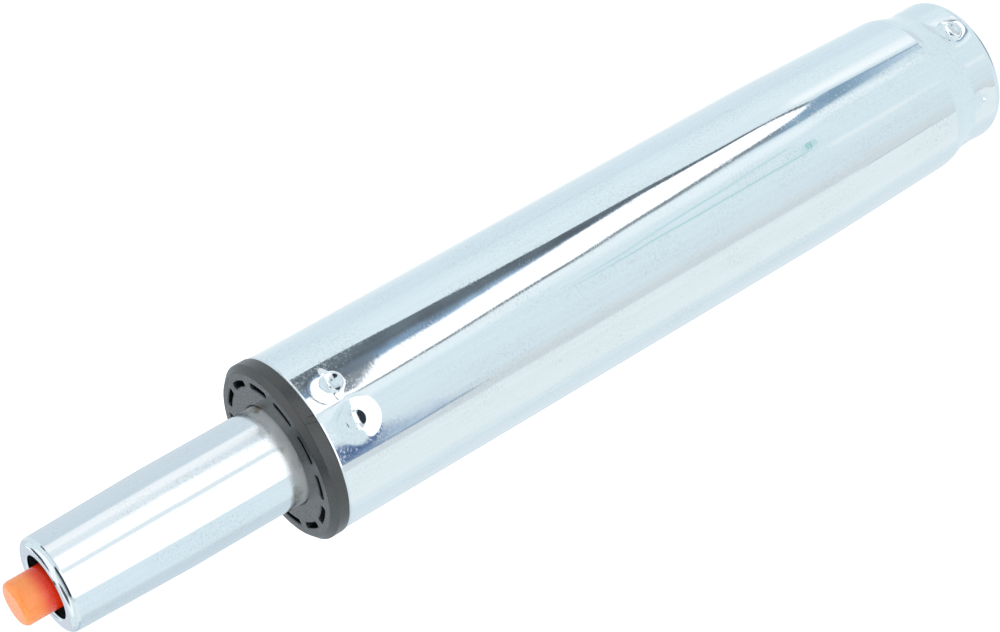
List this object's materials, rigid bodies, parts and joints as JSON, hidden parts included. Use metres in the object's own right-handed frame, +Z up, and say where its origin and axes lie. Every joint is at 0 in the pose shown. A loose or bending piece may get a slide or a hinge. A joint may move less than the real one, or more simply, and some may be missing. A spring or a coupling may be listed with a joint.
{
  "type": "chair gas lift cylinder",
  "caption": "Chrome gas lift cylinder for a swivel chair: a tapered column in which a lockable gas spring slides and swivels, released by a push button.",
  "frame": {"origin": "centre of the flat foot of the column, on the surface that it stands on", "axes": "+Z up along the column towards the release button; -Y towards the first pair of crimps, which is the side that the picture shows"},
  "size_m": [0.0506, 0.0506, 0.319],
  "materials": {
    "column_chrome": "bright polished chrome plate",
    "tube_chrome": "bright polished chrome plate",
    "bushing_plastic": "moulded, fine satin",
    "plate_steel": "turned",
    "bearing_steel": "ground",
    "natural_plastic": "moulded, natural",
    "rod_steel": "ground and plated",
    "washer_steel": "stamped",
    "clip_steel": "blackened spring steel",
    "black_rubber": "moulded rubber",
    "piston_aluminium": "turned",
    "valve_aluminium": "turned",
    "black_plastic": "moulded",
    "button_plastic": "moulded, orange-red, semi-gloss"
  },
  "bodies": {
    "column": {"outer_column": "column_chrome", "guide_bushing": "bushing_plastic", "base_plate": "plate_steel", "lower_race": "bearing_steel"},
    "bearing_cage": {"ball_cage": "natural_plastic", "bearing_balls": "bearing_steel"},
    "rod": {"piston_rod": "rod_steel", "upper_race": "bearing_steel", "buffer_seat": "washer_steel", "rubber_buffer": "black_rubber", "clip_washer": "washer_steel", "retaining_clip": "clip_steel", "piston": "piston_aluminium", "piston_ring": "black_rubber", "piston_washer": "washer_steel", "piston_nut": "clip_steel"},
    "gas_spring": {"spring_tube": "tube_chrome", "end_washer": "washer_steel", "rod_seal": "black_rubber", "seal_washer": "natural_plastic", "rod_guide": "natural_plastic", "stop_sleeve": "natural_plastic", "inner_cylinder": "rod_steel", "valve_body": "valve_aluminium", "valve_low_ring": "black_rubber", "valve_top_ring": "black_rubber", "pin_seal": "black_rubber", "seal_retainer": "natural_plastic", "valve_cap": "black_plastic", "tip_ring": "black_plastic"},
    "button": {"release_button": "button_plastic", "valve_pin": "rod_steel"}
  },
  "joints": [
    {"name": "swivel", "type": "hinge", "parent": "column", "child": "rod", "pos_m": [0, 0, 0.01605], "axis": [0, 0, 1], "continuous": true},
    {"name": "bearing_roll", "type": "hinge", "parent": "column", "child": "bearing_cage", "pos_m": [0, 0, 0.01605], "axis": [0, 0, 1], "continuous": true},
    {"name": "lift", "type": "slide", "parent": "rod", "child": "gas_spring", "axis": [0, 0, 1], "range_m": [0, 0.12]},
    {"name": "press", "type": "slide", "parent": "gas_spring", "child": "button", "axis": [0, 0, -1], "range_m": [0, 0.003], "stiffness_N_per_m": 12000}
  ],
  "couplings": [
    {"joint": "bearing_roll", "follows": "swivel", "ratio": 0.5}
  ]
}
